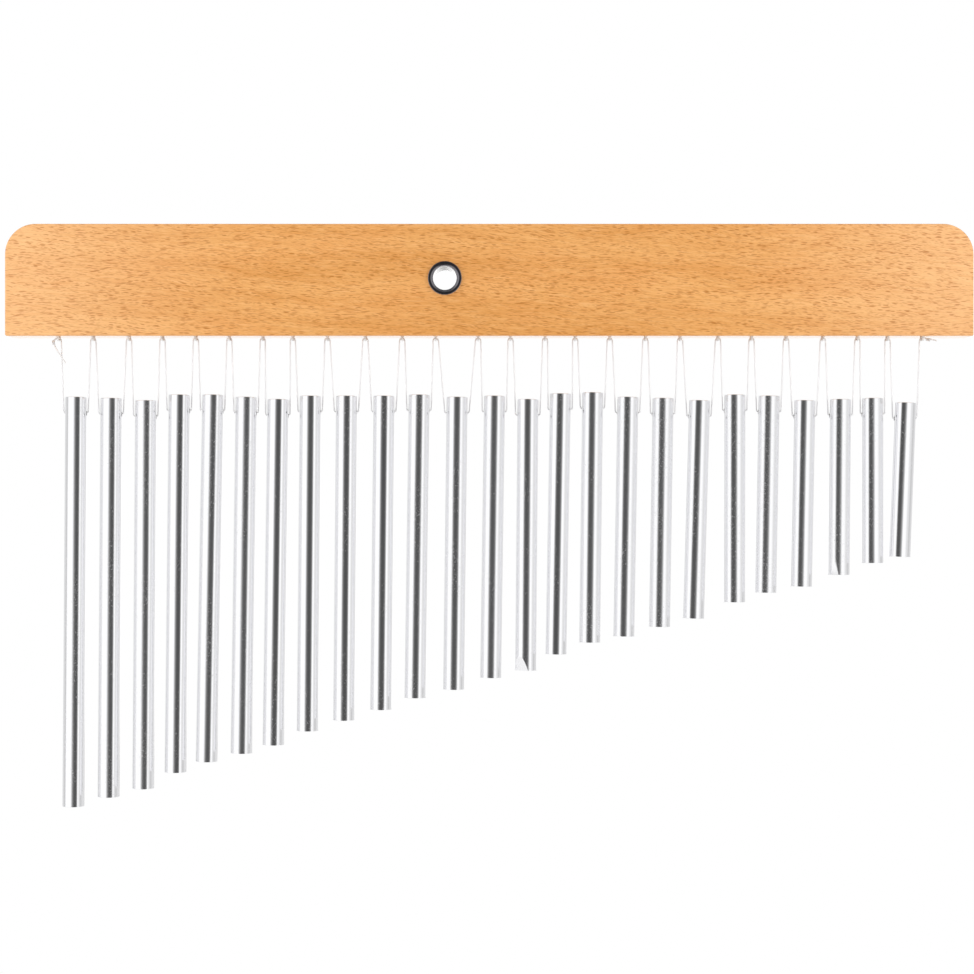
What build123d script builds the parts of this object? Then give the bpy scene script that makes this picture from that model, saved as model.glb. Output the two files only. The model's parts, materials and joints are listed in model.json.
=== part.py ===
from build123d import *
import math
import os

# Bar chimes: a beech bar with a row of solid aluminium chimes that one nylon line hangs from wire staples.
# Millimetres and degrees. The origin is the middle of the eyelets' bore, +X runs along the bar to the
# short chimes, +Z is up and the bar's front is at -Y.

# Bar
bar_length = 425.0
bar_height = 49.2
bar_thickness = 18.0
bar_corner_radius = 13.4
bar_edge_bevel = 0.6
bore_from_left_end = 193.0
bore_from_underside = 25.3

# Eyelets
eyelet_bore_radius = 5.2
eyelet_wall = 0.6
eyelet_flange_width = 1.8
eyelet_flange_rise = 1.1
eyelet_lip = 0.3
eyelet_fit = 0.05

# Chimes
chime_diameter = 9.5
chime_gap = 5.8
chime_longest = 181.0
chime_step = 4.7
chime_top_below_bar = 26.5
cross_hole_diameter = 2.0
cross_hole_sides = 6
cross_hole_from_top = 7.2

# Staples
first_staple_inset = 22.0
last_staple_inset = 20.0
staple_wire_width = 0.9
staple_wire_thickness = 0.65
staple_crown_length = 5.6
staple_shoulder_bevel = 0.35
staple_leg_in_wood = 8.0
staple_point_length = 1.2
staple_fit = 0.04

# Line
line_diameter = 0.6
line_sides = 6
line_to_bar = 0.12
line_to_staple = 0.12
arch_slack = 0.35
hang_gap = 0.5
leg_to_chime = 0.35
hole_bend_radius = 0.65

# Knots of three wraps, and the line's ends from the top of the first and the last staple's arch
knot_radius = 0.8
knot_waist = 0.55
knot_wrap_pitch = 0.6
knot_wraps = 3
knot_sides = 6
left_knot = (-2.3, 0, -1.9)
left_tail = [(-1.3, -0.7, -4.4), (1.2, -1.2, -8.0), (3.4, -1.3, -11.4)]
left_tail_radii = [3.0, 4.0]
right_knot = (2.6, 0, -0.7)
right_knot_lead = 1.0
right_tail_end = (6.4, 0, -1.2)
right_bend_radius = 2.5

# How the hand-tied row departs from even: staples along the bar, chimes down, chimes leaning to the left
staple_shifts = [0, 0, 0.5, 0, -0.5, -1, -1.5, -3.5, -3.5, -2, -1, -1.5, 2,
                 1, 1, -1, -1, -0.5, -0.5, 1, 0.5, 0.5, 1.5, 1.5, -0.5, -0.5]
chime_drops = [0, 0.5, 1.5, -1, -1, 0, 1, -0.5, -0.5, -0.5, -1, 0, -0.5,
               1, -1.5, -2, 0, 0.5, 1.5, -1, -0.5, 1.5, 1, 0.5, 2.5]
chime_leans = [0.4, 0.4, 0.4, 0.6, 1.0, 0.8, 0.8, 0.5, 0.5, 0.6, 0.8, 0.7, 0.8,
               0.5, 1.0, 0.7, 1.0, 0.9, 1.6, 0.1, 1.0, 1.1, 0.5, 0, 2.2]

# Places and radii that follow from the sizes
bar_left = -bore_from_left_end
underside = -bore_from_underside
bar_front = -bar_thickness / 2
chime_radius = chime_diameter / 2
line_radius = line_diameter / 2
eyelet_barrel_radius = eyelet_bore_radius + eyelet_wall
eyelet_flange_radius = eyelet_barrel_radius + eyelet_flange_width

# The line arches over a staple's crown with some slack, and the crown's corners clear it
arch_inner_radius = staple_wire_width / 2 + arch_slack
arch_radius = arch_inner_radius + line_radius
arch_top = underside - line_to_bar - line_radius
crown_top = (arch_top - arch_radius
             + math.sqrt((arch_inner_radius - line_to_staple) ** 2 - (staple_wire_width / 2) ** 2))
crown_bottom = crown_top - staple_wire_thickness

# The row: as many chimes as the bar takes, each midway between two staples
staple_pitch = chime_diameter + chime_gap
chime_count = int((bar_length - first_staple_inset - last_staple_inset) / staple_pitch)
staple_xs = [bar_left + first_staple_inset + i * staple_pitch + staple_shifts[i % len(staple_shifts)]
             for i in range(chime_count + 1)]
chime_xs = [(left + right) / 2 for left, right in zip(staple_xs, staple_xs[1:])]
chime_lengths = [chime_longest - i * chime_step for i in range(chime_count)]
lean_angles = [chime_leans[i % len(chime_leans)] for i in range(chime_count)]
hole_zs = [underside - chime_top_below_bar - chime_drops[i % len(chime_drops)] - cross_hole_from_top
           for i in range(chime_count)]

# A chime hangs with a little room above the line in its cross hole, so that it can rock there
line_rise = cross_hole_diameter / 2 - line_radius - hang_gap
leg_offset = chime_radius + line_radius + leg_to_chime


def make_bar():
    middle = Pos(bar_left + bar_length / 2, underside + bar_height / 2)
    outline = middle * Rectangle(bar_length, bar_height)
    outline = fillet(outline.vertices().group_by(Axis.Y)[-1], bar_corner_radius)
    bar = extrude(Plane.XZ * outline, bar_thickness / 2, both=True)
    faces = bar.faces().sort_by(Axis.Y)
    bar = chamfer(faces[0].edges() + faces[-1].edges(), bar_edge_bevel)
    bar -= Plane.XZ * Cylinder(eyelet_barrel_radius + eyelet_fit, bar_thickness)
    pocket = Box(staple_wire_width + 2 * staple_fit,
                 staple_wire_thickness + 2 * staple_fit,
                 staple_leg_in_wood + staple_fit,
                 align=(Align.CENTER, Align.CENTER, Align.MIN))
    leg_y = (staple_crown_length - staple_wire_thickness) / 2
    return bar - [Pos(x, side * leg_y, underside) * pocket for x in staple_xs for side in (-1, 1)]


def make_eyelet():
    """The front eyelet: a barrel that reaches the bar's middle and a crowned flange on its face."""
    crown_y = bar_front - eyelet_flange_rise
    crown_inset = (eyelet_flange_radius - eyelet_bore_radius) / 3
    outline = Polyline((eyelet_bore_radius, 0),
                       (eyelet_bore_radius, bar_front - eyelet_lip),
                       (eyelet_bore_radius + crown_inset, crown_y),
                       (eyelet_flange_radius - crown_inset, crown_y),
                       (eyelet_flange_radius, bar_front),
                       (eyelet_barrel_radius, bar_front),
                       (eyelet_barrel_radius, 0),
                       close=True)
    return revolve(make_face(outline), Axis.Y)


def make_staple():
    """One staple at x = 0, its crown along Y and its pointed legs up in the bar."""
    outer_y = staple_crown_length / 2
    inner_y = outer_y - staple_wire_thickness
    tip = underside + staple_leg_in_wood
    half = [(inner_y, crown_top),
            (inner_y, tip - staple_point_length),
            (outer_y, tip),
            (outer_y, crown_bottom + staple_shoulder_bevel),
            (outer_y - staple_shoulder_bevel, crown_bottom)]
    mirrored = [(-y, z) for y, z in reversed(half)]
    outline = make_face(Polyline(*half, *mirrored, close=True))
    return extrude(Plane.YZ * outline, staple_wire_width / 2, both=True)


def make_chime(index):
    """A chime with its cross hole, leaning about the middle of that hole."""
    length = chime_lengths[index]
    rod = Pos(0, 0, cross_hole_from_top - length / 2) * Cylinder(chime_radius, length)
    hole = RegularPolygon(cross_hole_diameter / 2, cross_hole_sides, major_radius=False, rotation=90)
    rod -= extrude(Plane.YZ * hole, chime_radius, both=True)
    return Pos(chime_xs[index], 0, hole_zs[index]) * Rot(0, lean_angles[index], 0) * rod


def bend(before, corner, after, radius):
    """Two points that cut a corner with a flat touching the arc of that radius."""
    back = (before - corner).normalized()
    ahead = (after - corner).normalized()
    turn = math.pi - math.radians(back.get_angle(ahead))
    cut = radius * (math.tan(turn / 2) - math.tan(turn / 4))
    return [corner + back * cut, corner + ahead * cut]


def make_line(route, radii):
    """The line along a route whose corners are bent to the given radii."""
    corners = [Vector(*point) for point in route]
    points = [corners[0]]
    for before, corner, after, radius in zip(corners, corners[1:], corners[2:], radii):
        points += bend(before, corner, after, radius)
    points.append(corners[-1])
    path = Polyline(*points)
    section = Plane(origin=path @ 0, z_dir=path % 0) * RegularPolygon(line_radius, line_sides)
    return sweep(section, path=path, transition=Transition.RIGHT)


def arch_reach(staple_x, leg_x, leg_z):
    """How far beside a staple the line's level top would meet its leg."""
    lean = math.atan2(abs(leg_x - staple_x) - arch_radius, arch_top - leg_z)
    return arch_radius * math.tan((math.pi / 2 - lean) / 2)


def make_span(index):
    """The line from one staple's top down, through a chime and up to the next staple's top."""
    left, right = staple_xs[index], staple_xs[index + 1]
    line_z = hole_zs[index] + line_rise
    left_leg = chime_xs[index] - leg_offset
    right_leg = chime_xs[index] + leg_offset
    route = [(left, 0, arch_top),
             (left + arch_reach(left, left_leg, line_z), 0, arch_top),
             (left_leg, 0, line_z),
             (right_leg, 0, line_z),
             (right - arch_reach(right, right_leg, line_z), 0, arch_top),
             (right, 0, arch_top)]
    return make_line(route, [arch_radius, hole_bend_radius, hole_bend_radius, arch_radius])


def make_knot():
    """Wraps about the Z axis, narrowing to the line at both ends."""
    half = knot_wraps * knot_wrap_pitch / 2
    rings = [(line_radius, -half)]
    for wrap in range(knot_wraps):
        low = wrap * knot_wrap_pitch - half
        rings.append((knot_radius, low + knot_wrap_pitch / 2))
        rings.append((knot_waist, low + knot_wrap_pitch))
    rings[-1] = (line_radius, half)
    return loft([Pos(0, 0, z) * RegularPolygon(radius, knot_sides) for radius, z in rings], ruled=True)


def make_left_end():
    """Over the first staple into a knot, with a loose tail that passes before the first leg."""
    top = Vector(staple_xs[0], 0, arch_top)
    knot_at = top + Vector(*left_knot)
    over = make_line([top, top - (arch_radius, 0, 0), knot_at], [arch_radius])
    tail = make_line([knot_at] + [top + Vector(*point) for point in left_tail], left_tail_radii)
    return over + Pos(knot_at) * make_knot() + tail


def make_right_end():
    """Over the last staple and level into a knot beside it, with a short tail along the underside."""
    top = Vector(staple_xs[-1], 0, arch_top)
    knot_at = top + Vector(*right_knot)
    tail_end = top + Vector(*right_tail_end)
    route = [top, top + (right_knot_lead, 0, 0), knot_at, tail_end]
    knot = Plane(origin=knot_at, z_dir=tail_end - knot_at) * make_knot()
    return make_line(route, [right_bend_radius, right_bend_radius]) + knot


def save(shape, node):
    export_step(shape, f"parts/{node}.step")


os.makedirs("parts", exist_ok=True)
save(make_bar(), "bar")
save(make_eyelet(), "front_eyelet")
save(Rot(0, 0, 180) * make_eyelet(), "rear_eyelet")
save(Compound([Pos(x, 0, 0) * make_staple() for x in staple_xs]), "staples")
for number in range(chime_count):
    save(make_chime(number), f"chime_{number + 1:02d}")
    save(make_span(number), f"line_span_{number + 1:02d}")
save(make_left_end(), "line_end_left")
save(make_right_end(), "line_end_right")
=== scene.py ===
import json
import math

import bmesh
import bpy
from mathutils import Matrix, Vector


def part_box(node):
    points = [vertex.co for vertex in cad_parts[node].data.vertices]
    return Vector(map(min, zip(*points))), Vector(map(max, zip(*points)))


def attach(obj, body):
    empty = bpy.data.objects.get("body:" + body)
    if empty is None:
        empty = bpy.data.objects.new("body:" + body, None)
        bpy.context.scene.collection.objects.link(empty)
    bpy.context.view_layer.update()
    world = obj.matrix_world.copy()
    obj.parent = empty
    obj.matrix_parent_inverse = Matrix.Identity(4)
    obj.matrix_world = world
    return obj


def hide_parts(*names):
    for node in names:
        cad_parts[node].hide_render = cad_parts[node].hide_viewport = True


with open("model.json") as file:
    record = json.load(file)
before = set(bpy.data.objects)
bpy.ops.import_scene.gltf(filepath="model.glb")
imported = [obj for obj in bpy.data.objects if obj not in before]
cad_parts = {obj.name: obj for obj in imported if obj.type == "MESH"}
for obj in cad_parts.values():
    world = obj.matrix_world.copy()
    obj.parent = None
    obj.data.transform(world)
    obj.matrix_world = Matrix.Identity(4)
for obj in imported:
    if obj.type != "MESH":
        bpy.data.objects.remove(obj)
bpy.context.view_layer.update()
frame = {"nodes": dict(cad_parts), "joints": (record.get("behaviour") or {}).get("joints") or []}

# Sizes in metres that the frame doesn't give
mm = 0.001
bar_corner_radius = 13.4 * mm
bar_edge_radius = 0.8 * mm
eyelet_bore_radius = 5.2 * mm
eyelet_wall = 0.6 * mm
eyelet_lip = 0.3 * mm
eyelet_rim_radius = 0.5 * mm
eyelet_crown_width = 0.4 * mm
# Reaches from the eyelet's axis where painted highlight brightens its rim and painted reflection its bore
eyelet_painted_rim_highlight = (7.35 * mm, 7.5 * mm)
eyelet_painted_bore_reflection = (5.35 * mm, 5.22 * mm)
chime_edge_radius = 0.22 * mm
cross_hole_radius = 1.0 * mm
weld_distance = 0.001 * mm
line_radius = 0.3 * mm
line_above_hole_centre = 0.2 * mm
leg_beside_chime = 0.35 * mm
arch_radius = 1.1 * mm
staple_width = 0.9 * mm
staple_thickness = 0.65 * mm
staple_crown_length = 5.6 * mm
staple_bend_radius = 0.45 * mm
knot_wrap_radius = 0.42 * mm
knot_wrap_pitch = 0.6 * mm
knot_wraps = 3

# Flats ground on the lower ends of two chimes: degrees from the front to the right, height and depth
ground_flats = {"14": (-36, 6.5 * mm, 1.6 * mm), "23": (-30, 7.0 * mm, 0.28 * mm)}

# Rings of points round every chime just above where the flats run out, from its lower end
rings_above_flats = (9 * mm, 8 * mm)

# The line's ends from the top of the first and the last staple's arch, as on the solids
left_knot = Vector((-2.3, 0, -1.9)) * mm
left_tail = [Vector(point) * mm for point in ((-1.3, -0.7, -4.4), (1.2, -1.2, -8.0), (3.4, -1.3, -11.4))]
right_knot = Vector((2.6, 0, -0.7)) * mm
right_knot_lead = Vector((1.0, 0, 0)) * mm
right_tail_end = Vector((6.4, 0, -1.2)) * mm

# Fineness of the meshes, with angles in degrees
round_points = 96
bar_hole_points = 64
bar_corner_steps = 20
bar_edge_steps = 4
bar_rim_angle = 60
flange_steps = 10
drill_points = 32
chime_edge_steps = 8
chime_sharp_angle = 14
chime_lean_tries = 6
staple_wire_points = 16
staple_shoulder_steps = 6
line_round_steps = 3
line_smooth_steps = 8
knot_wrap_points = 8

# Colours
pure_white = (1, 1, 1, 1)
floor_pale = (0.9, 0.9, 0.9, 1)
wood_dark_band = (0.735, 0.333, 0.088, 1)
wood_pale_band = (0.845, 0.433, 0.147, 1)
wood_warm = (0.8, 0.362, 0.108, 1)
# Painted sheen: the paler wood colour towards the bar's ends
wood_painted_sheen_end = (0.86, 0.495, 0.225, 1)
wood_pale_fibre = (0.885, 0.515, 0.225, 1)
wood_dark_fibre = (0.64, 0.25, 0.053, 1)
wood_fleck = (0.45, 0.15, 0.022, 1)
aluminium = (0.93, 0.93, 0.945, 1)
# Eyelet metal: dark as painted shade, and paler as painted highlight and painted reflection
nickel_painted_shade = (0.2, 0.19, 0.205, 1)
nickel_painted_highlight = (0.85, 0.83, 0.81, 1)
zinc_dull = (0.82, 0.81, 0.8, 1)
zinc_bright = (0.93, 0.92, 0.91, 1)
nylon_cloudy = (0.93, 0.925, 0.935, 1)
nylon_clear = (0.98, 0.975, 0.98, 1)

# Slope of the wood's grain in degrees, and where painted sheen makes the bar paler on both sides of its
# middle
grain_slope = 5
band_slope = 3
painted_sheen_ends = (90 * mm, 210 * mm)

# Camera and studio
camera_place = Vector((0.0185, -0.996, -0.0916))
camera_lens = 83.2
camera_sensor = 36
softbox_side = 0.56
softbox_aim_side = 0.2
softbox_front = -0.36
softbox_rise = 0.1
softbox_width = 0.4
softbox_height = 0.6
softbox_power = 1.85
ambient_level = 0.7
floor_level = -0.75
floor_radius = 1.9
floor_plain_radius = 0.6
floor_glow = 0.25

# White panels on both sides of the camera that polished metal mirrors, with the dark gap between them
panel_front = -0.34
panel_half_width = 2.5
panel_top = 0.4
panel_level = 1.08
panel_outer_level = 0.8
panel_outer_from_to = (0.42, 0.9)
panel_level_again = 0.84
gap_half_width = 0.275
gap_level = 0.08
gap_fade_power = 3.5

# What metal mirrors past the panels: levels, and where they set in by degrees from the front or by rise
side_dark_level = 0.63
side_dark_turn = (70, 84)
side_level = 0.77
side_turn = (102, 114)
back_level = 1.05
back_turn = (148, 156)
backdrop_level = 1.2
backdrop_turn = (158, 170)
rear_gap_rise = (-0.09, -0.13)
overhead_level = 0.35
overhead_rise = (0.5, 0.9)

# Places that the frame gives
bar_low, bar_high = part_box("bar")
staples_low, staples_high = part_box("staples")
joints = {joint["name"]: joint for joint in frame["joints"]}
numbers = sorted(name[-2:] for name in frame["nodes"] if name.startswith("chime_"))
arch_top = joints["swing_01"]["pos_m"][2]
staple_xs = [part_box(f"line_span_{number}")[0].x for number in numbers]
staple_xs.append(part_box(f"line_span_{numbers[-1]}")[1].x)


# Meshes
def link(thing):
    bpy.context.scene.collection.objects.link(thing)
    return thing


def new_piece(name, data, body, finish, nodes, place=Matrix.Identity(4)):
    """A piece of the object that stands for CAD nodes and rides on their body."""
    piece = link(bpy.data.objects.new(name, data))
    piece.matrix_world = place
    piece.data.materials.append(finish)
    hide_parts(*nodes)
    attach(piece, body)
    return piece


def skin(bm, rings, closed=False):
    """Faces between rings of equally many points, joined in a loop or closed by two end faces."""
    rows = [[bm.verts.new(point) for point in ring] for ring in rings]
    pairs = list(zip(rows, rows[1:]))
    if closed:
        pairs.append((rows[-1], rows[0]))
    for low, high in pairs:
        for i in range(len(low)):
            j = (i + 1) % len(low)
            bm.faces.new((low[i], low[j], high[j], high[i]))
    if not closed:
        bm.faces.new(list(reversed(rows[0])))
        bm.faces.new(rows[-1])


def circle(radius, z, steps):
    turns = [2 * math.pi * i / steps for i in range(steps)]
    return [Vector((radius * math.cos(turn), radius * math.sin(turn), z)) for turn in turns]


def arc(centre, radius, start, end, steps):
    """Points of an arc between two angles in degrees."""
    turns = [math.radians(start + (end - start) * i / steps) for i in range(steps + 1)]
    return [(centre[0] + radius * math.cos(turn), centre[1] + radius * math.sin(turn)) for turn in turns]


def to_mesh(bm, name, sharp_angle=35):
    """A smooth mesh with the edges over that angle kept sharp."""
    bmesh.ops.recalc_face_normals(bm, faces=bm.faces)
    for face in bm.faces:
        face.smooth = True
    mesh = bpy.data.meshes.new(name)
    bm.to_mesh(mesh)
    bm.free()
    mesh.set_sharp_from_angle(angle=math.radians(sharp_angle))
    return mesh


def cut(mesh, cutter, name, sharp_angle):
    """The mesh less another one, with points that fall together welded."""
    solid = link(bpy.data.objects.new("solid", mesh))
    tool = link(bpy.data.objects.new("tool", cutter))
    boolean = solid.modifiers.new("cut", "BOOLEAN")
    boolean.operation = "DIFFERENCE"
    boolean.object = tool
    boolean.solver = "EXACT"
    bm = bmesh.new()
    bm.from_object(solid, bpy.context.evaluated_depsgraph_get())
    bmesh.ops.remove_doubles(bm, verts=bm.verts, dist=weld_distance)
    bpy.data.objects.remove(solid)
    bpy.data.objects.remove(tool)
    return to_mesh(bm, name, sharp_angle)


def bar_mesh():
    """The bar with its rounded top corners, softened edges and the hole for the eyelets."""
    r = bar_corner_radius
    outline = [(bar_low.x, bar_low.z), (bar_high.x, bar_low.z)]
    outline += arc((bar_high.x - r, bar_high.z - r), r, 0, 90, bar_corner_steps)
    outline += arc((bar_low.x + r, bar_high.z - r), r, 90, 180, bar_corner_steps)
    hole = [(p.x, p.y) for p in circle(eyelet_bore_radius + eyelet_wall, 0, bar_hole_points)]
    bm = bmesh.new()
    edges = []
    for loop in (outline, hole):
        verts = [bm.verts.new((x, bar_low.y, z)) for x, z in loop]
        edges += [bm.edges.new((a, b)) for a, b in zip(verts, verts[1:] + verts[:1])]
    bmesh.ops.triangle_fill(bm, edges=edges, use_beauty=True)
    raised = bmesh.ops.extrude_face_region(bm, geom=bm.faces[:])["geom"]
    raised = [part for part in raised if isinstance(part, bmesh.types.BMVert)]
    bmesh.ops.translate(bm, vec=(0, bar_high.y - bar_low.y, 0), verts=raised)
    bmesh.ops.recalc_face_normals(bm, faces=bm.faces)
    hole_reach = 2 * (eyelet_bore_radius + eyelet_wall)
    rims = [edge for edge in bm.edges
            if edge.calc_face_angle() > math.radians(bar_rim_angle)
            and edge.verts[0].co.xz.length > hole_reach]
    bmesh.ops.bevel(bm, geom=rims, offset=bar_edge_radius, segments=bar_edge_steps, profile=0.5,
                    affect="EDGES")
    return to_mesh(bm, "beech_bar")


def eyelet_mesh(side):
    """A barrel to the middle of the bar and a rolled flange on its front (-1) or back (1)."""
    node = "front_eyelet" if side < 0 else "rear_eyelet"
    low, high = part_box(node)
    flange_radius = (high.x - low.x) / 2
    face = (bar_high.y - bar_low.y) / 2
    rise = (high.y - low.y) - face
    barrel = eyelet_bore_radius + eyelet_wall
    crown_outside = flange_radius - eyelet_rim_radius
    crown_inside = crown_outside - eyelet_crown_width
    funnel = crown_inside - eyelet_bore_radius
    steps = [i / flange_steps for i in range(flange_steps + 1)]
    quarter = [math.radians(90 * s) for s in steps]
    profile = [(eyelet_bore_radius, 0), (eyelet_bore_radius, 0.5 * face), (eyelet_bore_radius, face)]
    profile += [(eyelet_bore_radius + funnel * s, face + eyelet_lip + (rise - eyelet_lip) * s * (2 - s))
                for s in steps]
    profile += [(crown_outside + eyelet_rim_radius * math.sin(t), face + rise * math.cos(t))
                for t in quarter]
    profile += [(barrel, face), (barrel, 0)]
    bm = bmesh.new()
    skin(bm, [circle(radius, reach, round_points) for radius, reach in profile], closed=True)
    bm.transform(Matrix.Rotation(math.radians(-90 * side), 4, "X"))
    return to_mesh(bm, node)


def chime_shape(number):
    """A chime's middle, lean, length and radius, worked out from the box of its node."""
    low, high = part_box(f"chime_{number}")
    size = high - low
    diameter = size.y
    lean = 0.0
    for _ in range(chime_lean_tries):
        length = (size.z - diameter * math.sin(lean)) / math.cos(lean)
        lean = math.asin(max(0.0, (size.x - diameter * math.cos(lean)) / length))
    return (low + high) / 2, lean, length, diameter / 2


def chime_mesh(number):
    """A rod along its own Z axis with softened ends, a drilled cross hole and any ground flat."""
    middle, lean, length, radius = chime_shape(number)
    edge = chime_edge_radius
    hole_z = (joints[f"rock_{number}"]["pos_m"][2] - line_above_hole_centre - middle.z) / math.cos(lean)
    quarter = [math.radians(90 * i / chime_edge_steps) for i in range(chime_edge_steps + 1)]
    end = [(radius - edge + edge * math.sin(t), length / 2 - edge + edge * math.cos(t)) for t in quarter]
    end.append((radius, length / 2 - 3 * edge))
    levels = [hole_z + 2 * cross_hole_radius, hole_z, hole_z - 2 * cross_hole_radius]
    levels += [ring - length / 2 for ring in rings_above_flats]
    profile = end + [(radius, z) for z in levels] + [(r, -z) for r, z in reversed(end)]
    bm = bmesh.new()
    skin(bm, [circle(r, z, round_points) for r, z in reversed(profile)])
    if number in ground_flats:
        grind(bm, radius, -length / 2, *ground_flats[number])
    drill = bmesh.new()
    skin(drill, [circle(cross_hole_radius, z, drill_points) for z in (-2 * radius, 2 * radius)])
    drill.transform(Matrix.Translation((0, 0, hole_z)) @ Matrix.Rotation(math.radians(90), 4, "Y"))
    return cut(to_mesh(bm, "rod"), to_mesh(drill, "drill"), f"chime_{number}_rod", chime_sharp_angle)


def grind(bm, radius, bottom, degrees, height, depth):
    """A flat that runs out on the rod at that height and is that deep at the lower end."""
    turn = math.radians(degrees)
    outward = Vector((math.sin(turn), -math.cos(turn), 0))
    foot = outward * (radius - depth) + Vector((0, 0, bottom))
    normal = (outward * height - Vector((0, 0, depth))).normalized()
    everything = bm.verts[:] + bm.edges[:] + bm.faces[:]
    sliced = bmesh.ops.bisect_plane(bm, geom=everything, plane_co=foot, plane_no=normal, clear_outer=True)
    rim = [part for part in sliced["geom_cut"] if isinstance(part, bmesh.types.BMEdge)]
    bmesh.ops.contextual_create(bm, geom=rim)


def staple_mesh():
    """All staples: a flat wire bent round two shoulders, with legs up into the bar."""
    half = staple_crown_length / 2 - staple_thickness / 2
    bottom = staples_low.z + staple_thickness / 2
    r = staple_bend_radius
    path = [(-half, staples_high.z)]
    path += arc((-half + r, bottom + r), r, 180, 270, staple_shoulder_steps)
    path += arc((half - r, bottom + r), r, 270, 360, staple_shoulder_steps)
    path.append((half, staples_high.z))
    section = [squarish(2 * math.pi * i / staple_wire_points) for i in range(staple_wire_points)]
    bm = bmesh.new()
    for x in staple_xs:
        rings = []
        for i, (y, z) in enumerate(path):
            before, after = path[max(i - 1, 0)], path[min(i + 1, len(path) - 1)]
            along = Vector((0, after[0] - before[0], after[1] - before[1])).normalized()
            across = along.cross(Vector((1, 0, 0)))
            rings.append([Vector((x + u * staple_width / 2, y, z)) + across * v * staple_thickness / 2
                          for u, v in section])
        skin(bm, rings)
    return to_mesh(bm, "staple_row")


def squarish(angle):
    """A point of a rounded square of half width 1."""
    cos, sin = math.cos(angle), math.sin(angle)
    return math.copysign(abs(cos) ** 0.5, cos), math.copysign(abs(sin) ** 0.5, sin)


# Line
def line_curve(name, points):
    """A smooth round line whose control points are the route's."""
    curve = bpy.data.curves.new(name, "CURVE")
    curve.dimensions = "3D"
    curve.bevel_depth = line_radius
    curve.bevel_resolution = line_round_steps
    curve.resolution_u = line_smooth_steps
    curve.use_fill_caps = True
    spline = curve.splines.new("NURBS")
    spline.points.add(len(points) - 1)
    for point, place in zip(spline.points, points):
        point.co = (*place, 1)
    spline.order_u = 3
    spline.use_endpoint_u = True
    return curve


def span_points(index):
    """From one staple's top down a leg, through the chime's cross hole and up to the next staple's top."""
    left, right = staple_xs[index], staple_xs[index + 1]
    line_z = joints[f"rock_{numbers[index]}"]["pos_m"][2]
    chime_radius = chime_shape(numbers[index])[3]
    inner = chime_radius + line_radius + leg_beside_chime
    near = 6 * line_radius
    halves = []
    for side, staple_x in ((-1, left), (1, right)):
        top = Vector((staple_x, 0, arch_top))
        corner = top - Vector((side * arch_radius, 0, 0))
        bend = Vector(((left + right) / 2 + side * inner, 0, line_z))
        down = (bend - corner).normalized()
        inwards = Vector((-side, 0, 0))
        leg = [corner + down * 2 * near, bend - down * near]
        halves.append([top, corner, *leg, bend, bend + inwards * near])
    return halves[0] + list(reversed(halves[1]))


def wraps(centre, axis):
    """The turns of a knot about an axis, from its near end to its far end."""
    axis = axis.normalized()
    across = axis.cross(Vector((0, 1, 0))).normalized()
    beside = axis.cross(across)
    points = []
    for i in range(knot_wraps * knot_wrap_points + 1):
        turn = 2 * math.pi * i / knot_wrap_points
        along = (i / knot_wrap_points - knot_wraps / 2) * knot_wrap_pitch
        points.append(centre + axis * along
                      + (across * math.cos(turn) + beside * math.sin(turn)) * knot_wrap_radius)
    return points


def left_end_points():
    """Over the first staple into the knot, and down the loose tail."""
    top = Vector((staple_xs[0], 0, arch_top))
    corner = top - Vector((arch_radius, 0, 0))
    knot = top + left_knot
    return [top, corner] + wraps(knot, Vector((0, 0, -1))) + [top + point for point in left_tail]


def right_end_points():
    """Over the last staple into the knot beside it, and along the short tail."""
    top = Vector((staple_xs[-1], 0, arch_top))
    knot = top + right_knot
    tail_end = top + right_tail_end
    return [top, top + right_knot_lead] + wraps(knot, tail_end - knot) + [tail_end]


# Materials
def add(tree, kind, settings=None, **inputs):
    """A node with its settings, and its inputs set to values or joined to sockets."""
    node = tree.nodes.new(kind)
    for name, value in (settings or {}).items():
        setattr(node, name, value)
    for name, value in inputs.items():
        join(tree, node.inputs[name.replace("_", " ")], value)
    return node


def join(tree, socket, value):
    if isinstance(value, bpy.types.NodeSocket):
        tree.links.new(value, socket)
    else:
        socket.default_value = value


def new_material(name):
    made = bpy.data.materials.new(name)
    made.use_nodes = True
    return made, made.node_tree, made.node_tree.nodes["Principled BSDF"]


def stretched(tree, vector, *lengths, turn=0):
    """Coordinates in which features are that many millimetres long along X, Y and Z, turned about Y."""
    node = add(tree, "ShaderNodeMapping", {"vector_type": "TEXTURE"}, Vector=vector,
               Rotation=(0, math.radians(turn), 0), Scale=[length * mm for length in lengths])
    return node.outputs["Vector"]


def noise(tree, vector, detail=2.0, roughness=0.5, w=None):
    settings = {"noise_dimensions": "3D" if w is None else "4D"}
    node = add(tree, "ShaderNodeTexNoise", settings, Vector=vector, Scale=1, Detail=detail,
               Roughness=roughness)
    if w is not None:
        join(tree, node.inputs["W"], w)
    return node.outputs["Fac"]


def compute(tree, operation, *values):
    node = add(tree, "ShaderNodeMath", {"operation": operation})
    for socket, value in zip(node.inputs, values):
        join(tree, socket, value)
    return node.outputs["Value"]


def vectors(tree, operation, first, second):
    node = add(tree, "ShaderNodeVectorMath", {"operation": operation})
    join(tree, node.inputs[0], first)
    join(tree, node.inputs[1], second)
    return node.outputs["Vector"]


def off_axis(tree, vector, mask):
    """How far a place lies from the axis that the mask leaves out."""
    across = vectors(tree, "MULTIPLY", vector, mask)
    return add(tree, "ShaderNodeVectorMath", {"operation": "LENGTH"}, Vector=across).outputs["Value"]


def between(tree, value, low, high, to_low=0.0, to_high=1.0):
    """The value carried smoothly from one range to another, and kept inside it."""
    node = add(tree, "ShaderNodeMapRange", {"interpolation_type": "SMOOTHSTEP"}, Value=value, From_Min=low,
               From_Max=high, To_Min=to_low, To_Max=to_high)
    return node.outputs["Result"]


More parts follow.
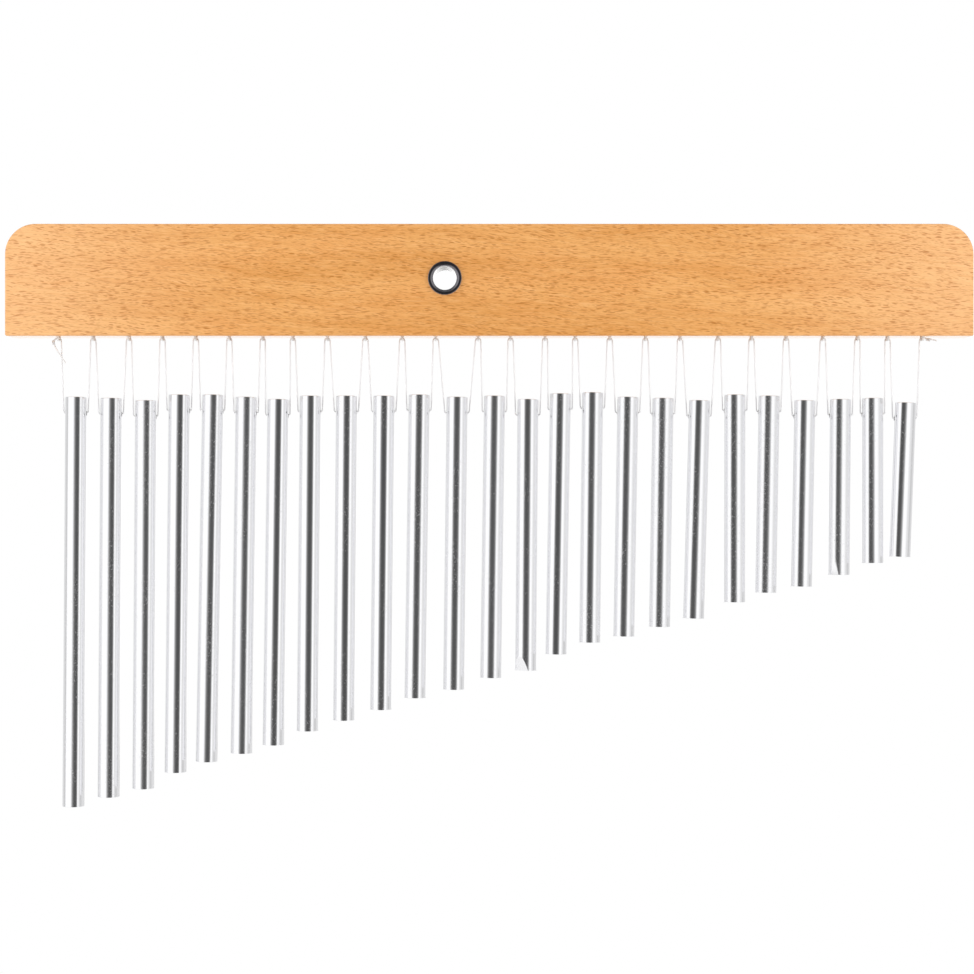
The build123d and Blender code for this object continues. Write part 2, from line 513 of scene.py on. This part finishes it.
def mix(tree, factor, first, second):
    """Two colours mixed by a factor, by socket numbers because several sockets share a name."""
    node = add(tree, "ShaderNodeMix", {"data_type": "RGBA"})
    for socket, value in zip((node.inputs[0], node.inputs[6], node.inputs[7]), (factor, first, second)):
        join(tree, socket, value)
    return node.outputs[2]


def mix_shaders(tree, factor, first, second):
    """Two shaders mixed by a factor."""
    node = add(tree, "ShaderNodeMixShader", Fac=factor)
    join(tree, node.inputs[1], first)
    join(tree, node.inputs[2], second)
    return node.outputs["Shader"]


def emission(tree, level):
    return add(tree, "ShaderNodeEmission", Color=pure_white, Strength=level).outputs["Emission"]


def background(tree, level):
    return add(tree, "ShaderNodeBackground", Color=pure_white, Strength=level).outputs["Background"]


def bumped(tree, height, distance):
    return add(tree, "ShaderNodeBump", Height=height, Distance=distance, Strength=1).outputs["Normal"]


def flecks(tree, vector, share):
    """Spindles scattered one to a cell, of which that share is strong."""
    cells = add(tree, "ShaderNodeTexVoronoi", Vector=vector, Scale=1, Randomness=1)
    chosen = add(tree, "ShaderNodeSeparateColor", Color=cells.outputs["Color"]).outputs["Red"]
    strength = between(tree, chosen, 1 - share - 0.3, 1 - share + 0.3, 0.1, 1.0)
    return compute(tree, "MULTIPLY", between(tree, cells.outputs["Distance"], 0.48, 0.22), strength)


def beech():
    """Flat-sawn beech under satin lacquer: soft bands along the bar, short dark ray flecks and painted sheen
    towards its ends.
    """
    made, tree, shader = new_material("beech")
    coordinates = add(tree, "ShaderNodeTexCoord").outputs
    place = coordinates["Object"]
    drift = add(tree, "ShaderNodeTexNoise", Vector=stretched(tree, place, 60, 30, 22), Scale=1, Detail=2)
    drift = vectors(tree, "MULTIPLY", drift.outputs["Color"], (0, 3 * mm, 7 * mm))
    grain = vectors(tree, "ADD", place, drift)
    bands = noise(tree, stretched(tree, grain, 110, 25, 8, turn=band_slope), 3)
    warmth = noise(tree, stretched(tree, grain, 50, 30, 14), 2)
    fibre = noise(tree, stretched(tree, grain, 9, 0.5, 0.35, turn=grain_slope), 4, 0.65)

    # Neighbouring rows of flecks start at uneven places
    rows = stretched(tree, grain, 40, 40, 0.9, turn=grain_slope)
    rows = add(tree, "ShaderNodeTexNoise", Vector=rows, Scale=1, Detail=1)
    uneven = vectors(tree, "ADD", grain, vectors(tree, "MULTIPLY", rows.outputs["Color"], (12 * mm, 0, 0)))
    rays = flecks(tree, stretched(tree, uneven, 3.4, 9, 0.55, turn=grain_slope), 0.6)
    small_rays = flecks(tree, stretched(tree, uneven, 2.0, 5, 0.36, turn=grain_slope), 0.5)
    dark = compute(tree, "MAXIMUM", rays, compute(tree, "MULTIPLY", small_rays, 0.6))

    # The rays lie broad and faint on the top and the underside
    facing = add(tree, "ShaderNodeSeparateXYZ", Vector=coordinates["Normal"]).outputs["Z"]
    faint = between(tree, compute(tree, "ABSOLUTE", facing), 0.4, 0.9, 1.0, 0.3)
    dark = compute(tree, "MULTIPLY", dark, faint)

    # Painted sheen: paler towards the ends of the bar, standing in for lamp light on the lacquer
    along = add(tree, "ShaderNodeSeparateXYZ", Vector=place).outputs["X"]
    off_middle = compute(tree, "ABSOLUTE", compute(tree, "SUBTRACT", along, (bar_low.x + bar_high.x) / 2))
    pale = between(tree, off_middle, *painted_sheen_ends, 0.0, 0.6)

    colour = mix(tree, between(tree, bands, 0.3, 0.7), wood_dark_band, wood_pale_band)
    colour = mix(tree, between(tree, warmth, 0.4, 0.7, 0.0, 0.5), colour, wood_warm)
    # Painted sheen towards the ends
    colour = mix(tree, pale, colour, wood_painted_sheen_end)
    colour = mix(tree, between(tree, fibre, 0.5, 0.3, 0.0, 0.5), colour, wood_pale_fibre)
    colour = mix(tree, between(tree, fibre, 0.45, 0.7, 0.0, 0.45), colour, wood_dark_fibre)
    colour = mix(tree, compute(tree, "MULTIPLY", dark, 0.8), colour, wood_fleck)
    join(tree, shader.inputs["Base Color"], colour)
    join(tree, shader.inputs["Roughness"], between(tree, fibre, 0.3, 0.7, 0.4, 0.52))
    join(tree, shader.inputs["Normal"], bumped(tree, compute(tree, "SUBTRACT", fibre, dark), 0.02 * mm))
    shader.inputs["Specular IOR Level"].default_value = 0.15
    shader.inputs["Coat Weight"].default_value = 1.0
    shader.inputs["Coat Roughness"].default_value = 0.08
    return made


def chime_metal():
    """Drawn and polished aluminium: faint streaks along the rod, with small pits, knocks and scratches."""
    made, tree, shader = new_material("chime_metal")
    coordinates = add(tree, "ShaderNodeTexCoord").outputs
    place = coordinates["Object"]
    own = add(tree, "ShaderNodeObjectInfo").outputs["Random"]
    seed = compute(tree, "MULTIPLY", own, 50.0)
    streak = noise(tree, stretched(tree, place, 2.4, 2.4, 160), 1, 0.4, seed)
    fine = noise(tree, stretched(tree, place, 0.3, 0.3, 30), 2, 0.5, seed)
    mottle = noise(tree, stretched(tree, place, 0.7, 0.7, 1.1), 3, 0.65, seed)
    patch = noise(tree, stretched(tree, place, 9, 9, 22), 2, 0.5, seed)
    scratch = noise(tree, stretched(tree, place, 0.22, 4, 5, turn=32), 1, 0.5, seed)
    worn = between(tree, patch, 0.38, 0.62)
    mottle = compute(tree, "MULTIPLY", between(tree, mottle, 0.5, 0.72), worn)
    scratch = compute(tree, "MULTIPLY", between(tree, scratch, 0.7, 0.78), worn)
    marks = compute(tree, "MAXIMUM", mottle, scratch)

    reach = off_axis(tree, place, (1, 1, 0))
    turning = compute(tree, "SINE", compute(tree, "DIVIDE", reach, 0.06 * mm))
    facing = add(tree, "ShaderNodeSeparateXYZ", Vector=coordinates["Normal"]).outputs["Z"]
    on_end = compute(tree, "GREATER_THAN", compute(tree, "ABSOLUTE", facing), 0.9)

    shader.inputs["Base Color"].default_value = aluminium
    shader.inputs["Metallic"].default_value = 1
    rough = compute(tree, "ADD", between(tree, own, 0, 1, 0.09, 0.17), compute(tree, "MULTIPLY", fine, 0.05))
    rough = compute(tree, "ADD", rough, compute(tree, "MULTIPLY", marks, 0.26))
    rough = compute(tree, "ADD", rough, compute(tree, "MULTIPLY", on_end, 0.15))
    join(tree, shader.inputs["Roughness"], rough)
    height = compute(tree, "ADD", streak, compute(tree, "MULTIPLY", fine, 0.02))
    height = compute(tree, "SUBTRACT", height, compute(tree, "MULTIPLY", marks, 0.06))
    turning = compute(tree, "MULTIPLY", turning, compute(tree, "MULTIPLY", on_end, 0.15))
    join(tree, shader.inputs["Normal"], bumped(tree, compute(tree, "ADD", height, turning), 0.02 * mm))
    return made


def nickel():
    """Plated eyelet, a little uneven from rolling. Its metal is painted dark, painted shade for the dark
    that it mirrors, and paler round the rim and in the bore, painted highlight and painted reflection of
    white.
    """
    made, tree, shader = new_material("eyelet_nickel_painted_light")
    place = add(tree, "ShaderNodeTexCoord").outputs["Object"]
    wear = noise(tree, stretched(tree, place, 1.2, 1.2, 1.2), 3, 0.6)
    reach = off_axis(tree, place, (1, 0, 1))
    # Painted highlight round the rim and painted reflection in the bore: paler metal at these reaches from
    # the axis
    painted_rim_highlight = between(tree, reach, *eyelet_painted_rim_highlight)
    painted_reflection_in_bore = between(tree, reach, *eyelet_painted_bore_reflection)
    painted_glints = compute(tree, "MAXIMUM", painted_rim_highlight, painted_reflection_in_bore)
    join(tree, shader.inputs["Base Color"], mix(tree, painted_glints, nickel_painted_shade, nickel_painted_highlight))
    shader.inputs["Metallic"].default_value = 1
    join(tree, shader.inputs["Roughness"], between(tree, wear, 0.3, 0.7, 0.12, 0.26))
    join(tree, shader.inputs["Normal"], bumped(tree, wear, 0.01 * mm))
    return made


def staple_wire():
    """Galvanised flat wire with fine drawing lines, dull between them."""
    made, tree, shader = new_material("staple_wire")
    place = add(tree, "ShaderNodeTexCoord").outputs["Object"]
    lines = noise(tree, stretched(tree, place, 0.12, 2, 2), 2)
    join(tree, shader.inputs["Metallic"], between(tree, lines, 0.3, 0.7, 0.25, 0.6))
    join(tree, shader.inputs["Base Color"], mix(tree, lines, zinc_dull, zinc_bright))
    join(tree, shader.inputs["Roughness"], between(tree, lines, 0.3, 0.7, 0.5, 0.65))
    return made


def nylon():
    """Clear nylon line, slightly clouded along its length."""
    made, tree, shader = new_material("nylon")
    place = add(tree, "ShaderNodeTexCoord").outputs["Object"]
    cloud = noise(tree, stretched(tree, place, 0.8, 0.8, 3), 2)
    join(tree, shader.inputs["Base Color"], mix(tree, cloud, nylon_cloudy, nylon_clear))
    join(tree, shader.inputs["Roughness"], between(tree, cloud, 0.3, 0.7, 0.3, 0.42))
    shader.inputs["IOR"].default_value = 1.53
    shader.inputs["Transmission Weight"].default_value = 0.3
    return made


def pale_floor():
    """A matt pale floor, lit a little from below, that fades into the white background towards its rim."""
    made, tree, shader = new_material("pale_floor")
    shader.inputs["Base Color"].default_value = floor_pale
    shader.inputs["Roughness"].default_value = 0.8
    shader.inputs["Emission Color"].default_value = pure_white
    shader.inputs["Emission Strength"].default_value = floor_glow
    place = add(tree, "ShaderNodeTexCoord").outputs["Object"]
    rim = between(tree, off_axis(tree, place, (1, 1, 0)), floor_plain_radius, floor_radius)
    seen = add(tree, "ShaderNodeLightPath").outputs["Is Camera Ray"]
    fade = compute(tree, "MULTIPLY", rim, seen)
    faded = mix_shaders(tree, fade, shader.outputs["BSDF"], emission(tree, 1))
    join(tree, tree.nodes["Material Output"].inputs["Surface"], faded)
    return made


def panel_white():
    """White that fades into the dark gap in the middle, and is a little greyer far to the right."""
    made, tree, shader = new_material("panel_white")
    across = add(tree, "ShaderNodeSeparateXYZ", Vector=add(tree, "ShaderNodeTexCoord").outputs["Object"])
    off_middle = compute(tree, "DIVIDE", compute(tree, "ABSOLUTE", across.outputs["X"]), gap_half_width)
    level = compute(tree, "POWER", off_middle, gap_fade_power)
    level = compute(tree, "MULTIPLY_ADD", level, 1 - gap_level, gap_level)
    white = between(tree, across.outputs["X"], *panel_outer_from_to, panel_level, panel_outer_level)
    level = compute(tree, "MINIMUM", level, white)

    # Chimes that mirror each other show the panels without the gap
    again = compute(tree, "GREATER_THAN", add(tree, "ShaderNodeLightPath").outputs["Glossy Depth"], 1.5)
    level = compute(tree, "MAXIMUM", level, compute(tree, "MULTIPLY", again, panel_level_again))
    join(tree, tree.nodes["Material Output"].inputs["Surface"], emission(tree, level))
    tree.nodes.remove(shader)
    return made


# Pieces
wood = beech()
metal = chime_metal()
plate = nickel()
wire = staple_wire()
clear = nylon()

bar = new_piece("beech_bar", bar_mesh(), "bar", wood, ["bar"])
bar.modifiers.new("even_faces", "WEIGHTED_NORMAL").keep_sharp = True
new_piece("eyelet_front", eyelet_mesh(-1), "bar", plate, ["front_eyelet"])
new_piece("eyelet_rear", eyelet_mesh(1), "bar", plate, ["rear_eyelet"])
new_piece("staple_row", staple_mesh(), "bar", wire, ["staples"])
for index, number in enumerate(numbers):
    middle, lean = chime_shape(number)[:2]
    upright = Matrix.Translation(middle) @ Matrix.Rotation(lean, 4, "Y")
    new_piece(f"chime_rod_{number}", chime_mesh(number), f"chime_{number}", metal,
              [f"chime_{number}"], upright)
    strand = line_curve(f"line_strand_{number}", span_points(index))
    new_piece(f"line_strand_{number}", strand, f"span_{number}", clear, [f"line_span_{number}"])
left_end = line_curve("line_knot_left", left_end_points())
new_piece("line_knot_left", left_end, "span_01", clear, ["line_end_left"])
right_end = line_curve("line_knot_right", right_end_points())
new_piece("line_knot_right", right_end, "bar", clear, ["line_end_right"])


# Studio
def softbox(name, place, target):
    lamp = bpy.data.lights.new(name, "AREA")
    lamp.shape = "RECTANGLE"
    lamp.size = softbox_width
    lamp.size_y = softbox_height
    lamp.energy = softbox_power
    box = link(bpy.data.objects.new(name, lamp))
    box.location = place
    box.rotation_euler = (target - place).to_track_quat("-Z", "Y").to_euler()
    box.visible_camera = False
    box.visible_glossy = False


def make_panels():
    """White panels with a dark gap between them that only show in what polished surfaces mirror."""
    corners = [(-panel_half_width, floor_level), (panel_half_width, floor_level),
               (panel_half_width, panel_top), (-panel_half_width, panel_top)]
    bm = bmesh.new()
    bm.faces.new([bm.verts.new((x, 0, z)) for x, z in corners])
    panel = link(bpy.data.objects.new("panels", to_mesh(bm, "panels")))
    panel.location = (camera_place.x, panel_front, 0)
    panel.data.materials.append(panel_white())
    panel.visible_camera = False
    panel.visible_diffuse = False
    panel.visible_transmission = False
    panel.visible_shadow = False


def make_world():
    """A white room that metal mirrors with grey sides, a lit back, a dark gap low behind and a dim top."""
    world = bpy.data.worlds.new("studio")
    bpy.context.scene.world = world
    world.use_nodes = True
    tree = world.node_tree
    tree.nodes.clear()
    towards = add(tree, "ShaderNodeSeparateXYZ", Vector=add(tree, "ShaderNodeTexCoord").outputs["Generated"])
    forwards = compute(tree, "MULTIPLY", towards.outputs["Y"], -1.0)
    turn = compute(tree, "ABSOLUTE", compute(tree, "ARCTAN2", towards.outputs["X"], forwards))
    turn = compute(tree, "DEGREES", turn)
    rise = towards.outputs["Z"]
    mirrored = between(tree, turn, *side_dark_turn, panel_level, side_dark_level)
    sides = between(tree, turn, *side_turn, 0.0, side_level - side_dark_level)
    back = between(tree, turn, *back_turn, 0.0, back_level - side_level)
    rear = between(tree, rise, *rear_gap_rise, backdrop_level - back_level, gap_level - back_level)
    rear = compute(tree, "MULTIPLY", rear, between(tree, turn, *backdrop_turn))
    for change in (sides, back, rear):
        mirrored = compute(tree, "ADD", mirrored, change)
    overhead = between(tree, rise, *overhead_rise, 1.0, overhead_level)
    mirrored = compute(tree, "MULTIPLY", mirrored, overhead)
    light_path = add(tree, "ShaderNodeLightPath").outputs
    seen = compute(tree, "MAXIMUM", light_path["Is Camera Ray"], light_path["Is Transmission Ray"])
    diffuse = background(tree, ambient_level)
    lit = mix_shaders(tree, light_path["Is Glossy Ray"], diffuse, background(tree, mirrored))
    shown = mix_shaders(tree, seen, lit, background(tree, 1))
    add(tree, "ShaderNodeOutputWorld", Surface=shown)


def make_floor():
    bm = bmesh.new()
    bm.faces.new([bm.verts.new(point) for point in circle(floor_radius, floor_level, round_points)])
    floor = link(bpy.data.objects.new("floor", to_mesh(bm, "floor")))
    floor.data.materials.append(pale_floor())


def make_camera():
    camera = link(bpy.data.objects.new("camera", bpy.data.cameras.new("camera")))
    camera.data.sensor_width = camera_sensor
    camera.data.lens = camera_lens
    camera.location = camera_place
    camera.rotation_euler = (math.radians(90), 0, 0)
    bpy.context.scene.camera = camera


bar_middle = (bar_low + bar_high) / 2
make_camera()
make_world()
make_floor()
make_panels()
for name, side in (("softbox_left", -1), ("softbox_right", 1)):
    place = Vector((bar_middle.x + side * softbox_side, softbox_front, softbox_rise))
    softbox(name, place, Vector((bar_middle.x + side * softbox_aim_side, 0, 0)))
bpy.context.scene.view_settings.view_transform = "Standard"
